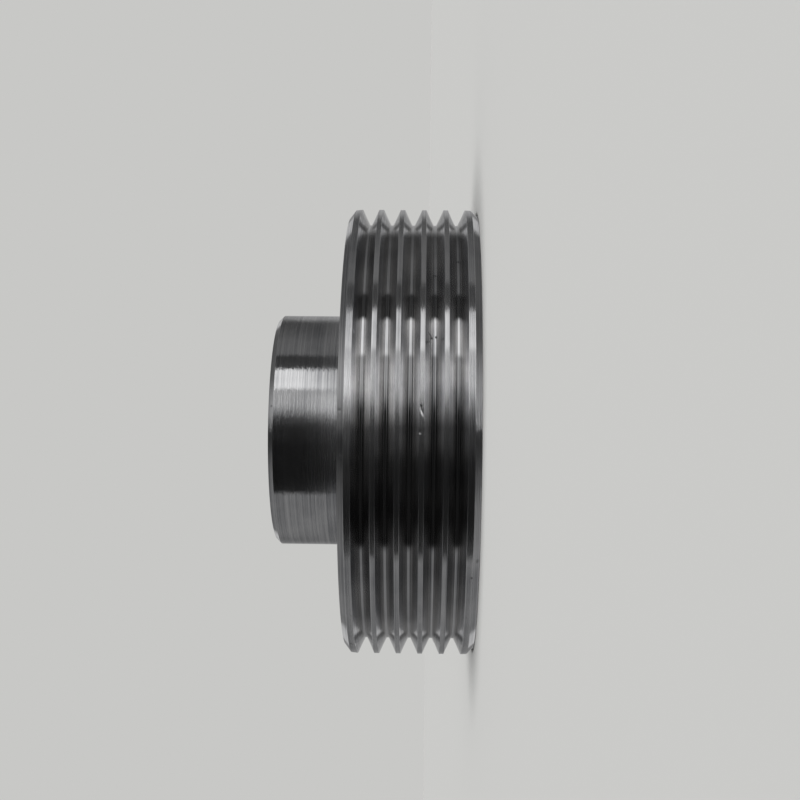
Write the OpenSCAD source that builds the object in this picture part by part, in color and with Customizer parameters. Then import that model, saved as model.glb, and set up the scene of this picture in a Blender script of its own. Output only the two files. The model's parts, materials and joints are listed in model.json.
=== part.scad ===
// Ribbed belt pulley, turned from aluminium bar.
// It stands on its rim face: the axis is +Z, the hub is on top and z = 0 is the rim face.
// The whole piece is one section turned about the axis, with X as the radius.

/* [Rim] */

// Diameter over the ribs
outer_d = 75; // [60:0.5:120]
// From the middle of an outer groove to the face of the rim beside it
edge_margin = 3.4; // [3.2:0.1:8]
// Chamfer at 45 degrees on the edge of the rim face it stands on
face_chamfer = 1; // [0.4:0.1:1.2]
// Width along the axis of the chamfer on the rim edge nearer the hub
hub_side_chamfer_w = 1; // [0.4:0.1:1.2]
// Height along the radius of that same chamfer
hub_side_chamfer_h = 1.4; // [0.4:0.1:3]

/* [Grooves] */

// How many V-grooves the belt runs in
groove_count = 5; // [2:1:12]
// Distance from groove to groove
groove_pitch = 3.56; // [3:0.02:4.2]
// Angle between the two flanks of a groove
groove_angle = 50; // [38:1:56]
// Width of a rib's top between its two flanks, before the corners are rounded
rib_top = 0.74; // [0.6:0.02:1.4]
// Radius on the corners of a rib
rib_radius = 0.1; // [0.06:0.01:0.2]
// Width of a groove's flat floor between its two flanks, before the corners are rounded
valley_floor = 0.4; // [0.3:0.02:0.6]
// Radius in the corners of that floor
valley_radius = 0.08; // [0.04:0.01:0.15]

/* [Hub] */

// Diameter of the hub
hub_d = 39; // [28:0.5:56]
// How far the hub stands out from the rim
hub_length = 12; // [5:0.5:40]
// Chamfer at 45 degrees on the end of the hub
hub_chamfer = 0.8; // [0.3:0.1:2.5]
// Radius the turning tool leaves where the hub meets the rim
root_radius = 0.5; // [0.2:0.1:3]

/* [Bore] */

// Diameter of the plain shaft bore
bore_d = 20; // [8:0.5:30]
// Chamfer at 45 degrees on both ends of the bore
bore_chamfer = 1; // [0.3:0.1:2.5]

/* [Hidden] */

$fn = 180;

aluminium = [0.77, 0.78, 0.79];

outer_r = outer_d / 2;
hub_r = hub_d / 2;
bore_r = bore_d / 2;
rim_width = (groove_count - 1) * groove_pitch + 2 * edge_margin;
total_length = rim_width + hub_length;

// One groove: half its angle, half its mouth, half its floor and the radius of that floor
flank = groove_angle / 2;
mouth = (groove_pitch - rib_top) / 2;
floor_half = valley_floor / 2;
floor_r = outer_r - (mouth - floor_half) / tan(flank);

// The arc in a corner of the floor touches the floor and the flank
valley_run = valley_radius * tan((90 - flank) / 2);
valley_center_r = floor_r + valley_radius;
valley_center_z = floor_half - valley_run;
valley_touch_r = floor_r + valley_run * cos(flank);
valley_touch_z = floor_half + valley_run * sin(flank);

// The arc on a rib's corner touches the top of the rib and the flank
rib_run = rib_radius * tan((90 - flank) / 2);
rib_center_r = outer_r - rib_radius;
rib_center_z = mouth + rib_run;
rib_touch_r = outer_r - rib_run * cos(flank);
rib_touch_z = mouth - rib_run * sin(flank);

// How far a cutting shape runs out past the surface it cuts
over = 1;

// The space of one groove, about its own middle, with its flat floor and all four corners rounded
module groove() {
    difference() {
        union() {
            polygon([
                [floor_r, -valley_center_z],
                [valley_touch_r, -valley_touch_z],
                [rib_touch_r, -rib_touch_z],
                [outer_r, -rib_center_z],
                [outer_r + over, -rib_center_z],
                [outer_r + over, rib_center_z],
                [outer_r, rib_center_z],
                [rib_touch_r, rib_touch_z],
                [valley_touch_r, valley_touch_z],
                [floor_r, valley_center_z]
            ]);
            for (side = [-1, 1])
                translate([valley_center_r, side * valley_center_z])
                    circle(r = valley_radius);
        }
        for (side = [-1, 1])
            translate([rib_center_r, side * rib_center_z])
                circle(r = rib_radius);
    }
}

// Rim, hub and bore as they are before the grooves are cut
module blank() {
    polygon([
        [bore_r + bore_chamfer, 0],
        [outer_r - face_chamfer, 0],
        [outer_r, face_chamfer],
        [outer_r, rim_width - hub_side_chamfer_w],
        [outer_r - hub_side_chamfer_h, rim_width],
        [hub_r, rim_width],
        [hub_r, total_length - hub_chamfer],
        [hub_r - hub_chamfer, total_length],
        [bore_r + bore_chamfer, total_length],
        [bore_r, total_length - bore_chamfer],
        [bore_r, bore_chamfer]
    ]);
}

// Metal left in the corner between the hub and the rim
module root() {
    difference() {
        translate([hub_r - root_radius, rim_width - root_radius])
            square(2 * root_radius);
        translate([hub_r + root_radius, rim_width + root_radius])
            circle(r = root_radius);
    }
}

module section() {
    difference() {
        union() {
            blank();
            root();
        }
        for (i = [0 : groove_count - 1])
            translate([0, edge_margin + i * groove_pitch])
                groove();
    }
}

module pulley() {
    color(aluminium)
        rotate_extrude()
            section();
}

pulley();
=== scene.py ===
import json
import math

import bpy
import numpy as np
from mathutils import Matrix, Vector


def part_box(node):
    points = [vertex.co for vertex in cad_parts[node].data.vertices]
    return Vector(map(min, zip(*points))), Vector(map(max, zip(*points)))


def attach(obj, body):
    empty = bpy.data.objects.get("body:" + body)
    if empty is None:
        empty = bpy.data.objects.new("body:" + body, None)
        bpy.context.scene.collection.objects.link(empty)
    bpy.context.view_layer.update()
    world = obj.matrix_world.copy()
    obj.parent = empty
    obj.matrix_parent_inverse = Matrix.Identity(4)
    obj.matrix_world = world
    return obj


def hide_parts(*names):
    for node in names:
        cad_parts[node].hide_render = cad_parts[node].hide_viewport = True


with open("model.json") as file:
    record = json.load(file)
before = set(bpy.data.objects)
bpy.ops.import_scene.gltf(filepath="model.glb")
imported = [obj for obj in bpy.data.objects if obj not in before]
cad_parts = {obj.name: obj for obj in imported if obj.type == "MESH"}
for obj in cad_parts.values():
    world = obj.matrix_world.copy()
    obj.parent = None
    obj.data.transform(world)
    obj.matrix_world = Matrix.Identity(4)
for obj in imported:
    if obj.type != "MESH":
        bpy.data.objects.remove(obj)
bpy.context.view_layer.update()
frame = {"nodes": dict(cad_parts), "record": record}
scene = bpy.context.scene
mm = 0.001
print("frame loaded:", sorted(frame["nodes"]))


def hexColour(code):
    # sRGB hex to linear RGBA: below 0.04045 divide by 12.92, above it raise to 2.4
    part = np.array([int(code[i:i + 2], 16) for i in (1, 3, 5)]) / 255
    linear = np.where(part <= 0.04045, part / 12.92, ((part + 0.055) / 1.055) ** 2.4)
    return (*linear.tolist(), 1.0)


def addNode(tree, kind, inputs=None, **settings):
    # one node with its settings; an input is a plain value, or (node, output) for a link
    node = tree.nodes.new("ShaderNode" + kind)
    for name, value in settings.items():
        setattr(node, name, value)
    for key, value in (inputs or {}).items():
        if isinstance(value, tuple) and isinstance(value[0], bpy.types.Node):
            tree.links.new(value[0].outputs[value[1]], node.inputs[key])
        else:
            node.inputs[key].default_value = value
    return node


# the pulley: one turned section, sizes in mm; its diameter, length and bore come from the frame
pulley = {
    "grooves": 5,
    "pitch": 3.56,          # groove to groove
    "flank": (23.0, 27.2),  # half the groove's angle in degrees, at the top and at the foot, so a little hollow
    "ribTop": 0.74,         # rib's top between its flanks, before the corners are rounded
    "ribRadius": 0.04,
    "valleyFloor": 0.40,    # groove's flat floor between its flanks, before the corners are rounded
    "valleyRadius": 0.08,
    "margin": 3.4,          # outer groove to rim face
    "faceChamfer": 1.0,     # on the edge it stands on
    "hubSideChamfer": (1.0, 1.4),  # along the axis, along the radius
    "hubRadius": 19.5,
    "hubLength": 12.0,
    "hubChamfer": 0.8,
    "rootRadius": 0.5,
    "coarseTops": 1.5,      # how coarse the cut is, where 0 is the fine cut of the grooves
    "coarseFaces": 2.5,
    "coarseHub": (0.6, 2.2),  # at its end and at the rim
    "coarseFoot": 7.0,      # length of the hub, from the rim, over which the cut grows coarser
    "boreChamfer": 1.0,
    "edgeBreak": 0.07,      # radius left on machined edges
    "outerFall": (0.05, 0.11),  # how far the outer ribs fall off towards their chamfers, at the face and beside the hub
    "arcPoints": 4,         # points on each rounded corner
    "columns": 430,         # steps round the axis, closer together near the marks
    # marks of use: angle from the front in degrees, radius, height, length round the rim, width, lean in degrees,
    # depth, stain from 0 to 1 (real specks, and on the third mark a painted shadow beside the first dent)
    "marks": [
        (4.2, 37.5, 8.70, 1.10, 0.28, 18, 0.070, 0.0),
        (-0.3, 37.5, 9.00, 0.45, 0.30, 25, 0.060, 0.0),
        # shallow dent whose dark stain is painted shadow, the shadow side of the first dent
        (5.4, 37.5, 8.85, 0.35, 0.25, 30, 0.040, 0.8),
        (23.1, 35.7, 7.55, 0.40, 0.40, 0, 0.010, 1.0),
        (23.3, 34.95, 6.80, 0.35, 0.28, 0, 0.010, 1.0),
        (48.5, 34.85, 3.40, 0.40, 0.30, 0, 0.010, 1.0),
        (42.6, 34.85, 6.96, 0.30, 0.28, 0, 0.010, 0.9),
        (22.9, 37.4, 19.05, 0.50, 0.18, 0, 0.060, 0.0),
        (-35.3, 37.5, 1.15, 0.32, 0.28, 20, 0.030, 0.9),
        (-31.2, 37.0, 0.45, 0.90, 0.30, 0, 0.030, 0.7),
        (-49.1, 37.5, 1.73, 0.22, 0.20, 0, 0.020, 0.7),
        (-65.2, 37.5, 19.70, 0.60, 0.40, 30, 0.040, 0.7),
        (-73.4, 37.5, 18.95, 0.70, 0.40, -20, 0.040, 0.8),
        (-49.1, 37.5, 19.30, 0.20, 0.22, 0, 0.020, 0.6),
        (-6.0, 36.7, 20.35, 0.45, 0.30, 15, 0.060, 0.0),
        (4.5, 36.5, 20.65, 0.35, 0.25, 0, 0.040, 0.5),
        (11.1, 19.3, 32.45, 0.30, 0.25, 0, 0.040, 0.4),
        (-21.1, 19.5, 30.65, 0.20, 0.16, 0, 0.012, 0.0),
        (-1.8, 19.5, 30.10, 0.20, 0.18, 0, 0.012, 0.0),
        (-18.1, 19.5, 25.90, 0.22, 0.16, 0, 0.012, 0.0),
        (-19.2, 19.5, 23.70, 0.20, 0.18, 0, 0.012, 0.0),
    ],
}


def sectionCorners(p, outer, length, bore):
    # corners of the closed section as (radius, height, rounding, points on the straight that follows),
    # walked so that metal is on the left: rim face, grooved rim, hub side of the rim, hub, hub end, bore
    width = (p["grooves"] - 1) * p["pitch"] + 2 * p["margin"]
    mouth = (p["pitch"] - p["ribTop"]) / 2
    half = p["valleyFloor"] / 2
    steep, wide = (math.tan(math.radians(angle)) for angle in p["flank"])
    step = (mouth - half) / (steep + wide)
    bend, floor = half + step * wide, outer - 2 * step
    hollow = 0.9 * step / math.tan(math.radians(p["flank"][1] - p["flank"][0]) / 2)
    chamferWide, chamferHigh = p["hubSideChamfer"]
    edge, bc, hc = p["edgeBreak"], p["boreChamfer"], p["hubChamfer"]
    middle = p["margin"] + p["pitch"] * np.arange(p["grooves"])
    oneGroove = np.array([
        (outer, -mouth, p["ribRadius"], 0), (outer - step, -bend, hollow, 0), (floor, -half, p["valleyRadius"], 2),
        (floor, half, p["valleyRadius"], 0), (outer - step, bend, hollow, 0), (outer, mouth, p["ribRadius"], 5)])
    groove = (oneGroove + np.stack([0 * middle, middle, 0 * middle, 0 * middle], 1)[:, None]).reshape(-1, 4)
    below = [(bore + bc, 0, edge, 1), (outer - p["faceChamfer"], 0, edge, 2),
             (outer - p["outerFall"][0], p["faceChamfer"], edge, 5)]
    above = [
        (outer - p["outerFall"][1], width - chamferWide, edge, 3), (outer - chamferHigh, width, edge, 1),
        (p["hubRadius"], width, p["rootRadius"], 8),
        (p["hubRadius"], length - hc, edge, 2), (p["hubRadius"] - hc, length, edge, 1),
        (bore + bc, length, edge, 1), (bore, length - bc, edge, 1), (bore, bc, edge, 1),
    ]
    return np.vstack([below, groove, above])


def roundedSection(corners, arcPoints):
    # each corner becomes an arc that touches both of its sides: point = centre + radius * the side's outward normal,
    # turned through a share of the corner's angle; each straight between two arcs is split evenly
    point, rounding, fill = corners[:, :2], corners[:, 2], corners[:, 3:]
    leave = np.roll(point, -1, 0) - point
    leave /= np.linalg.norm(leave, axis=1)[:, None]
    arrive = np.roll(leave, 1, 0)
    turn = np.arctan2(arrive[:, 0] * leave[:, 1] - arrive[:, 1] * leave[:, 0], (arrive * leave).sum(1))
    side = np.sign(turn)
    start = point - arrive * (rounding * np.tan(abs(turn) / 2))[:, None]
    centre = start + (side * rounding)[:, None] * np.stack([-arrive[:, 1], arrive[:, 0]], 1)
    a = turn[:, None] * np.linspace(0, 1, arcPoints)
    out = np.stack([arrive[:, 1], -arrive[:, 0]], 1)
    arcNormal = np.stack([
        out[:, :1] * np.cos(a) - out[:, 1:] * np.sin(a),
        out[:, :1] * np.sin(a) + out[:, 1:] * np.cos(a),
    ], 2)
    arc = centre[:, None] + (side * rounding)[:, None, None] * arcNormal
    most = int(fill.max())
    share = (np.arange(most) + 1) / (fill + 1)
    gap = np.roll(arc[:, 0], -1, 0) - arc[:, -1]
    straight = arc[:, -1:] + gap[:, None] * share[:, :, None]
    straightNormal = np.repeat(arcNormal[:, -1:], most, 1)
    used = np.concatenate([np.ones((len(point), arcPoints), bool), np.arange(most) < fill], 1)
    line = np.concatenate([arc, straight], 1)[used]
    normal = np.concatenate([arcNormal, straightNormal], 1)[used]
    step = np.linalg.norm(np.roll(line, -1, 0) - line, axis=1)
    return line, normal, np.concatenate([[0], np.cumsum(step)])


def columnAngles(marks, count):
    # angles from -pi to pi, spaced by the inverse of a density: 1 everywhere plus a bell on each mark
    fine = np.linspace(-math.pi, math.pi, 20001)
    spread = np.radians(0.5 + np.degrees(marks[:, 3] / marks[:, 1]))
    density = 1 + 4 * np.exp(-((fine[:, None] - np.radians(marks[:, 0])) / spread) ** 2).sum(1).clip(0, 1)
    total = np.concatenate([[0], np.cumsum((density[1:] + density[:-1]) / 2)])
    return np.interp(np.arange(count) / count, total / total[-1], fine)


def marksOn(marks, line, angle):
    # each mark is a bell in its own leaning (about, across) axes, kept near its radius;
    # the dents are the sum of -depth * bell, and the dark stain (real specks, and one painted shadow beside a dent) is
    # the largest bell, steepened to a solid middle
    radius, height = line[:, 0][None, :, None], line[:, 1][None, :, None]
    m = marks.T[:, :, None, None]
    about = (angle[None, None, :] - np.radians(m[0])) * m[1]
    across = height - m[2]
    lean = np.radians(m[5])
    p = about * np.cos(lean) + across * np.sin(lean)
    q = across * np.cos(lean) - about * np.sin(lean)
    bell = np.exp(-(p / (m[3] / 2)) ** 2 - (q / (m[4] / 2)) ** 2 - ((radius - m[1]) / 0.45) ** 2)
    return (-m[6] * bell).sum(0), (m[7] * (2 * bell - 0.3).clip(0, 1)).max(0)


def gridMesh(name, place, normal, u, v):
    # closed grid (section x round) as quads, with a map of round against section length
    rows, cols = place.shape[:2]
    i, j = np.meshgrid(np.arange(rows), np.arange(cols), indexing="ij")
    i1, j1 = (i + 1) % rows, (j + 1) % cols
    quad = np.stack([i * cols + j, i * cols + j1, i1 * cols + j1, i1 * cols + j], 2).reshape(-1)
    mesh = bpy.data.meshes.new(name)
    mesh.vertices.add(rows * cols)
    mesh.vertices.foreach_set("co", place.reshape(-1).astype(np.float32))
    mesh.loops.add(len(quad))
    mesh.loops.foreach_set("vertex_index", quad.astype(np.int32))
    mesh.polygons.add(rows * cols)
    mesh.polygons.foreach_set("loop_start", np.arange(0, len(quad), 4, dtype=np.int32))
    mesh.polygons.foreach_set("use_smooth", np.ones(rows * cols, bool))
    mesh.update(calc_edges=True)
    uNext, vNext = np.append(u[1:], 1.0), v[1:]
    corner = np.stack([
        np.stack([u[j], v[i]], 2), np.stack([uNext[j], v[i]], 2),
        np.stack([uNext[j], vNext[i]], 2), np.stack([u[j], vNext[i]], 2),
    ], 2)
    layer = mesh.uv_layers.new(name="OFBake")
    layer.uv.foreach_set("vector", corner.reshape(-1).astype(np.float32))
    mesh.validate()
    mesh.normals_split_custom_set_from_vertices(normal.reshape(-1, 3).astype(np.float32))
    return mesh


def buildPulley(p):
    low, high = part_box("pulley")
    outer, length = max(high[0], high[1]) / mm, high[2] / mm
    bore = next(m["dims"]["r_mm"] for m in frame["record"]["mounts"] if m["kind"] == "bore")
    marks = np.array(p["marks"], float)
    corners = sectionCorners(p, outer, length, bore)
    line, out, along = roundedSection(corners, p["arcPoints"])
    angle = columnAngles(marks, p["columns"])
    dent, stain = marksOn(marks, line, angle)
    # place = section turned about the axis, pushed along its normal by the dents; angle 0 faces -Y
    r, z = line[:, :1] + out[:, :1] * dent, line[:, 1:] + out[:, 1:] * dent
    sine, cosine = np.sin(angle), np.cos(angle)
    place = np.stack([r * sine, -r * cosine, z], 2) * mm
    # normal = smooth normal less the slope of the dents along the section and round the axis
    slopeAlong = np.gradient(dent, along[:-1], axis=0)
    slopeRound = np.gradient(dent, angle, axis=1) / line[:, :1]
    nr = out[:, :1] + out[:, 1:] * slopeAlong
    nz = out[:, 1:] - out[:, :1] * slopeAlong
    normal = np.stack([
        nr * sine - slopeRound * cosine, -nr * cosine - slopeRound * sine, nz + 0 * slopeRound], 2)
    normal /= np.linalg.norm(normal, axis=2)[:, :, None]
    mesh = gridMesh("turned_pulley", place, normal, (angle + math.pi) / (2 * math.pi), along / along[-1])
    # how deep each point lies in a groove, 0 on the ribs to 1 in the valleys
    width = length - p["hubLength"]
    inGroove = (line[:, 1] > p["faceChamfer"]) & (line[:, 1] < width - p["hubSideChamfer"][0])
    inGroove &= line[:, 0] > p["hubRadius"] + p["rootRadius"]
    depth = np.where(inGroove, outer - line[:, 0], 0)
    # how coarse the surface is: one value on the rib tops and one on the flat faces, none in the grooves,
    # and on the hub a value that grows evenly towards the rim
    tops = (line[:, 0] > outer - 0.15) & (abs(out[:, 1]) < 0.3)
    onHub = (line[:, 1] > width) & (abs(line[:, 0] - p["hubRadius"]) < p["rootRadius"])
    foot = ((width + p["coarseFoot"] - line[:, 1]) / p["coarseFoot"]).clip(0, 1)
    hubEnd, hubFoot = p["coarseHub"]
    rub = np.where(onHub, hubEnd + (hubFoot - hubEnd) * foot, p["coarseTops"] * tops)
    rub = np.where(abs(out[:, 1]) > 0.95, p["coarseFaces"], rub)
    for name, value in (("valley", depth / depth.max()), ("rub", rub), ("stain", stain)):
        value = np.broadcast_to(value if value.ndim == 2 else value[:, None], dent.shape)
        mesh.attributes.new(name, "FLOAT", "POINT").data.foreach_set("value", value.reshape(-1).astype(np.float32))
    piece = bpy.data.objects.new("turned_pulley", mesh)
    scene.collection.objects.link(piece)
    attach(piece, "root")
    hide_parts("pulley")
    print("pulley:", len(mesh.polygons) * 2, "triangles, section", round(along[-1], 1), "mm long")
    return piece, along[-1]


piece, sectionLength = buildPulley(pulley)

# turned aluminium: bare metal with fine tool marks round the axis, so reflections stay crisp round the piece
# and smear along it, and their edges are ragged; thin old grime lies in the grooves in streaks
turnedAluminium = {
    "metal": "#eeeeef",
    "metalDull": "#b4b5b8",
    "grime": "#857a62",
    "grimeShare": 0.20,
    "speckAndShade": "#1c1b1a",
    "roughness": 0.085,
    "rubbed": 0.08,         # rougher by this where it is rubbed
    "anisotropy": 1.0,
    "lineSpacing": 0.26,    # mm between the broader tool marks
    "rippleSpacing": 0.20,  # mm between the fine ones, drawn coarser than they are so that they show
    "rippleLength": 1.1,    # mm along a tool mark on the hub
    "rippleHeight": 0.022,  # mm
    "patch": 9.0,           # mm, size of the duller patches
}


def makeTurnedAluminium(m):
    material = bpy.data.materials.new("turned_aluminium")
    material.use_nodes = True
    tree = material.node_tree
    tree.nodes.clear()
    # tool marks: noise over the distance along the section in line spacings, and over the direction from the axis,
    # once drawn out right round the piece and once broken into short ripples
    uv = addNode(tree, "UVMap", uv_map="OFBake")
    split = addNode(tree, "SeparateXYZ", {0: (uv, "UV")})
    along = addNode(tree, "Math", {0: (split, "Y"), 1: sectionLength / m["lineSpacing"]}, operation="MULTIPLY")
    finer = addNode(tree, "Math", {0: (split, "Y"), 1: sectionLength / m["rippleSpacing"]}, operation="MULTIPLY")
    broad = addNode(tree, "CombineXYZ", {"Z": (along, "Value")})
    fine = addNode(tree, "CombineXYZ", {"Z": (finer, "Value")})
    where = addNode(tree, "TexCoord")
    flat = addNode(tree, "VectorMath", {0: (where, "Object"), 1: (1, 1, 0)}, operation="MULTIPLY")
    outward = addNode(tree, "VectorMath", {0: (flat, "Vector")}, operation="NORMALIZE")
    slow = addNode(tree, "VectorMath", {0: (outward, "Vector"), 1: (0.4, 0.4, 0), 2: (broad, "Vector")},
                   operation="MULTIPLY_ADD")
    turns = pulley["hubRadius"] / m["rippleLength"]
    quick = addNode(tree, "VectorMath", {0: (outward, "Vector"), 1: (turns, turns, 0), 2: (fine, "Vector")},
                    operation="MULTIPLY_ADD")
    lines = addNode(tree, "TexNoise", {"Vector": (slow, "Vector"), "Scale": 1.0, "Detail": 1.2, "Roughness": 0.6})
    ripple = addNode(tree, "TexNoise", {"Vector": (quick, "Vector"), "Scale": 1.0, "Detail": 1.5, "Roughness": 0.5})
    patches = addNode(tree, "TexNoise", {"Vector": (where, "Object"), "Scale": 1 / (m["patch"] * mm), "Detail": 3.0})
    # colour: bright metal, duller on some lines and patches
    dull = addNode(tree, "Math", {0: (lines, "Fac"), 1: (patches, "Fac")}, operation="MULTIPLY")
    dullShare = addNode(tree, "MapRange", {"Value": (dull, "Value"), "From Min": 0.14, "From Max": 0.40})
    bright, matt = hexColour(m["metal"]), hexColour(m["metalDull"])
    metal = addNode(tree, "Mix", {"Factor": (dullShare, "Result"), "A": bright, "B": matt}, data_type="RGBA")
    # grime: at the foot of the flanks, less on the floors of the grooves, in streaks along the tool marks
    valley = addNode(tree, "Attribute", attribute_name="valley")
    deep = addNode(tree, "MapRange", {"Value": (valley, "Fac"), "From Min": 0.4, "From Max": 0.85,
                                      "To Max": m["grimeShare"]})
    foot = addNode(tree, "MapRange", {"Value": (valley, "Fac"), "From Min": 0.96, "From Max": 1.0,
                                      "To Min": 1.0, "To Max": 0.15})
    streak = addNode(tree, "MapRange", {"Value": (lines, "Fac"), "From Min": 0.3, "From Max": 0.7, "To Min": 0.6})
    lower = addNode(tree, "Math", {0: (deep, "Result"), 1: (foot, "Result")}, operation="MULTIPLY")
    grimeShare = addNode(tree, "Math", {0: (lower, "Value"), 1: (streak, "Result")}, operation="MULTIPLY")
    grimy = addNode(tree, "Mix", {"Factor": (grimeShare, "Value"), "A": (metal, "Result"), "B": hexColour(m["grime"])},
                    data_type="RGBA")
    # dark specks: real stains, and on one rib a painted shadow beside a dent
    stain = addNode(tree, "Attribute", attribute_name="stain")
    colour = addNode(tree, "Mix", {"Factor": (stain, "Fac"), "A": (grimy, "Result"), "B": hexColour(m["speckAndShade"])},
                     data_type="RGBA")
    # gloss: a little rougher on dull patches, and more where it is rubbed
    patchy = addNode(tree, "MapRange", {"Value": (dull, "Value"), "From Min": 0.1, "From Max": 0.45,
                                        "To Min": m["roughness"] - 0.01, "To Max": m["roughness"] + 0.02})
    rub = addNode(tree, "Attribute", attribute_name="rub")
    rough = addNode(tree, "Math", {0: (rub, "Fac"), 1: m["rubbed"], 2: (patchy, "Result")}, operation="MULTIPLY_ADD")
    # ripples: full on the hub and the ribs, weak in the grooves, which were cut by a formed tool
    centred = addNode(tree, "Math", {0: (ripple, "Fac"), 1: 0.5}, operation="SUBTRACT")
    formed = addNode(tree, "MapRange", {"Value": (valley, "Fac"), "From Min": 0.02, "From Max": 0.12,
                                        "To Min": 1.0, "To Max": 0.1})
    height = addNode(tree, "Math", {0: (centred, "Value"), 1: (formed, "Result")}, operation="MULTIPLY")
    bump = addNode(tree, "Bump", {"Height": (height, "Value"), "Distance": m["rippleHeight"] * mm, "Strength": 1.0})
    tangent = addNode(tree, "Tangent", direction_type="RADIAL", axis="Z")
    shader = addNode(tree, "BsdfPrincipled", {
        "Base Color": (colour, "Result"), "Metallic": 1.0, "Roughness": (rough, "Value"),
        "Anisotropic": m["anisotropy"], "Anisotropic Rotation": 0.25,
        "Normal": (bump, "Normal"), "Tangent": (tangent, "Tangent"),
    })
    addNode(tree, "OutputMaterial", {"Surface": (shader, "BSDF")})
    return material


piece.data.materials.append(makeTurnedAluminium(turnedAluminium))
print("material: turned aluminium")

# the room: a plain studio of soft panels, a bright box to one side of the camera, grey walls and a dark camera side
room = {
    # plain grey panels stand around the pulley: the tone of each
    "tones": {
        "dark": "#101010", "gap": "#262626", "shade": "#3e3e3e", "wall": "#525252", "grey": "#606060",
        "pale": "#767676", "sky": "#929292", "key": "#b8b8b8", "box": "#ececec",
    },
    # where they begin and end at the pulley's own height, in degrees from the camera towards +X
    "level": [
        (-180, "pale"), (-150, "grey"), (-68.5, "grey"), (-62, "dark"), (9, "dark"), (25, "pale"), (39, "pale"),
        (42, "key"), (60.5, "key"), (63.5, "gap"), (77, "gap"), (80, "wall"), (133, "shade"), (150, "pale"),
        (180, "pale"),
    ],
    # above and below that height: one big soft box in front, with soft edges
    "over": [
        (-180, "pale"), (-145, "shade"), (-75, "shade"), (-48, "dark"), (-20, "gap"), (0, "wall"), (26, "box"),
        (55, "pale"), (80, "shade"), (135, "gap"), (180, "pale"),
    ],
    "power": 1.8,
    "overFrom": (0.19, 0.43),  # height, up or down, over which one gives way to the next
    # soft sky beyond them
    "sky": [
        (-180, "sky"), (-72, "sky"), (-60, "gap"), (8, "gap"), (16, "sky"), (61, "sky"), (66, "shade"), (77, "shade"),
        (84, "pale"), (180, "sky"),
    ],
    "skyFrom": (0.55, 0.72),
    # straight up and straight down, by how far towards +X
    "ends": [(-0.5, "grey"), (-0.05, "gap"), (0.16, "pale"), (0.42, "shade")],
    "endsFrom": (1.05, 1.25),
    "narrowest": 0.35,      # least cosine that a height is divided by
    "behind": (0.95, 1.0),  # how far towards +Y the backdrop shows in the metal, from none to the share below
    "behindShare": 0.25,
    "backdrop": "#c8c8c6",
    "floor": "#c8c8c6",
    "floorLight": 2.47,
    "floorRadius": 3.0,
}


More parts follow.
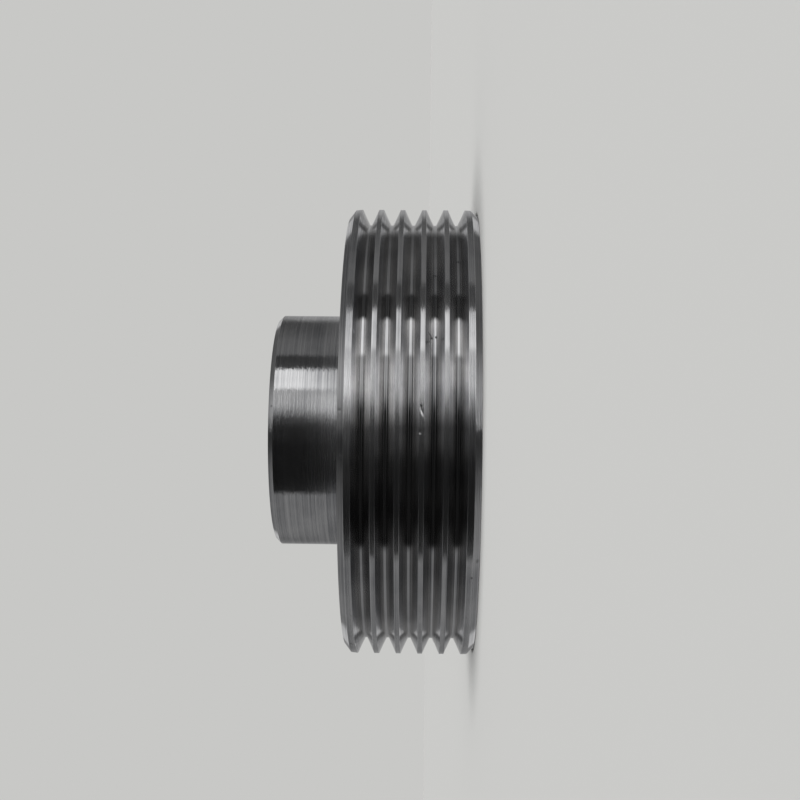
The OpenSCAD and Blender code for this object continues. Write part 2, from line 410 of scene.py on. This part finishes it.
def makeRoom(r):
    world = bpy.data.worlds.new("studio")
    world.use_nodes = True
    tree = world.node_tree
    tree.nodes.clear()
    where = addNode(tree, "TexCoord")
    split = addNode(tree, "SeparateXYZ", {0: (where, "Generated")})
    front = addNode(tree, "Math", {0: (split, "Y"), 1: -1.0}, operation="MULTIPLY")
    turn = addNode(tree, "Math", {0: (split, "X"), 1: (front, "Value")}, operation="ARCTAN2")
    share = addNode(tree, "Math", {0: (turn, "Value"), 1: 1 / (2 * math.pi), 2: 0.5}, operation="MULTIPLY_ADD")
    aside = addNode(tree, "Math", {0: (split, "X"), 1: 0.5}, operation="ADD")
    ramps = []
    for place, stops in (
        (share, [(angle / 360 + 0.5, tone) for angle, tone in r["level"]]),
        (share, [(angle / 360 + 0.5, tone) for angle, tone in r["over"]]),
        (share, [(angle / 360 + 0.5, tone) for angle, tone in r["sky"]]),
        (aside, [(x + 0.5, tone) for x, tone in r["ends"]]),
    ):
        ramp = addNode(tree, "ValToRGB", {"Fac": (place, "Value")})
        ramp.color_ramp.interpolation = "EASE"
        ramp.color_ramp.elements[0].position, ramp.color_ramp.elements[1].position = stops[0][0], stops[-1][0]
        for position, tone in stops[1:-1]:
            ramp.color_ramp.elements.new(position)
        for element, (position, tone) in zip(ramp.color_ramp.elements, stops):
            element.color = hexColour(r["tones"][tone])
        ramps.append(ramp)
    # the level panels, then those over them, the sky and the ends; the height is |z| over the cosine of
    # half the angle, kept from growing too small, which is nearly the same all round for what one flank mirrors
    halfTurn = addNode(tree, "Math", {0: (turn, "Value"), 1: 0.5}, operation="MULTIPLY")
    cosine = addNode(tree, "Math", {0: (halfTurn, "Value")}, operation="COSINE")
    narrow = addNode(tree, "Math", {0: (cosine, "Value"), 1: r["narrowest"]}, operation="MAXIMUM")
    up = addNode(tree, "Math", {0: (split, "Z")}, operation="ABSOLUTE")
    high = addNode(tree, "Math", {0: (up, "Value"), 1: (narrow, "Value")}, operation="DIVIDE")
    light = (ramps[0], "Color")
    for ramp, (low, top) in zip(ramps[1:], (r["overFrom"], r["skyFrom"], r["endsFrom"])):
        lift = addNode(tree, "MapRange", {"Value": (high, "Value"), "From Min": low, "From Max": top},
                       interpolation_type="SMOOTHSTEP")
        mixed = addNode(tree, "Mix", {"Factor": (lift, "Result"), "A": light, "B": (ramp, "Color")}, data_type="RGBA")
        light = (mixed, "Result")
    # the pale backdrop is all that the camera sees, and what the metal sees of it straight behind the pulley
    path = addNode(tree, "LightPath")
    shiny = addNode(tree, "Math", {0: (path, "Is Glossy Ray"), 1: (path, "Is Transmission Ray")}, operation="MAXIMUM")
    near, far = r["behind"]
    behind = addNode(tree, "MapRange", {"Value": (split, "Y"), "From Min": near, "From Max": far,
                                        "To Max": r["behindShare"]}, interpolation_type="SMOOTHSTEP")
    mirrored = addNode(tree, "Math", {0: (shiny, "Value"), 1: (behind, "Result")}, operation="MULTIPLY")
    seen = addNode(tree, "Math", {0: (path, "Is Camera Ray"), 1: (mirrored, "Value")}, operation="MAXIMUM")
    studio = addNode(tree, "Background", {"Color": light, "Strength": r["power"]})
    paper = addNode(tree, "Background", {"Color": hexColour(r["backdrop"]), "Strength": 1.0})
    both = addNode(tree, "MixShader", {0: (seen, "Value"), 1: (studio, "Background"), 2: (paper, "Background")})
    addNode(tree, "OutputWorld", {"Surface": (both, "Shader")})
    scene.world = world


def makeFloor(r):
    # flat disc: points at the floor's radius, one for each step of the angle, as one face
    angle = np.linspace(0, 2 * math.pi, 96, endpoint=False)
    ring = np.stack([np.cos(angle), np.sin(angle), 0 * angle], 1) * r["floorRadius"]
    mesh = bpy.data.meshes.new("floor")
    mesh.from_pydata(ring.tolist(), [], [list(range(96))])
    floor = bpy.data.objects.new("floor", mesh)
    scene.collection.objects.link(floor)
    floor.visible_glossy = False
    material = bpy.data.materials.new("floor_paper")
    material.use_nodes = True
    tree = material.node_tree
    tree.nodes.clear()
    paper = addNode(tree, "BsdfDiffuse", {"Color": hexColour(r["floor"])})
    addNode(tree, "OutputMaterial", {"Surface": (paper, "BSDF")})
    mesh.materials.append(material)
    lamp = bpy.data.lights.new("overhead", "SUN")
    lamp.energy = r["floorLight"]
    lamp.angle = math.radians(70)
    overhead = bpy.data.objects.new("overhead", lamp)
    overhead.visible_glossy = False
    scene.collection.objects.link(overhead)


makeRoom(room)
makeFloor(room)
print("room: world, floor and overhead light")

# camera: in front of the pulley, lying on its side so that the hub is on the left of the picture
shot = {
    "distance": 226.22,     # mm from the axis
    "height": 8.494,        # mm above the floor
    "turn": -1.036,         # degrees to the right
    "tilt": 1.339,          # degrees up
    "roll": 0.635,          # degrees
    "lens": 59.318,
}


def makeCamera(c):
    # picture right is -Z, picture up is +X and the view is along +Y; then turned, tilted and rolled a little
    turn, tilt, roll = (math.radians(c[k]) for k in ("turn", "tilt", "roll"))
    right = np.array([math.cos(turn), 0, -math.sin(turn)])
    up = np.array([-math.sin(turn) * math.sin(tilt), math.cos(tilt), -math.cos(turn) * math.sin(tilt)])
    ahead = np.array([math.sin(turn) * math.cos(tilt), math.sin(tilt), math.cos(turn) * math.cos(tilt)])
    axes = np.stack([
        right * math.cos(roll) + up * math.sin(roll), up * math.cos(roll) - right * math.sin(roll), -ahead])
    picture = np.array([[0, 0, -1], [1, 0, 0], [0, 1, 0]])
    turned = np.eye(4)
    turned[:3, :3] = (axes @ picture).T
    turned[:3, 3] = np.array([0, -c["distance"], c["height"]]) * mm
    data = bpy.data.cameras.new("camera")
    data.lens, data.sensor_width = c["lens"], 36
    data.clip_start, data.clip_end = 0.01, 20
    camera = bpy.data.objects.new("camera", data)
    scene.collection.objects.link(camera)
    camera.matrix_world = Matrix(turned.tolist())
    scene.camera = camera


makeCamera(shot)
scene.view_settings.view_transform = "Standard"
scene.cycles.glossy_bounces = 10
print("camera placed")
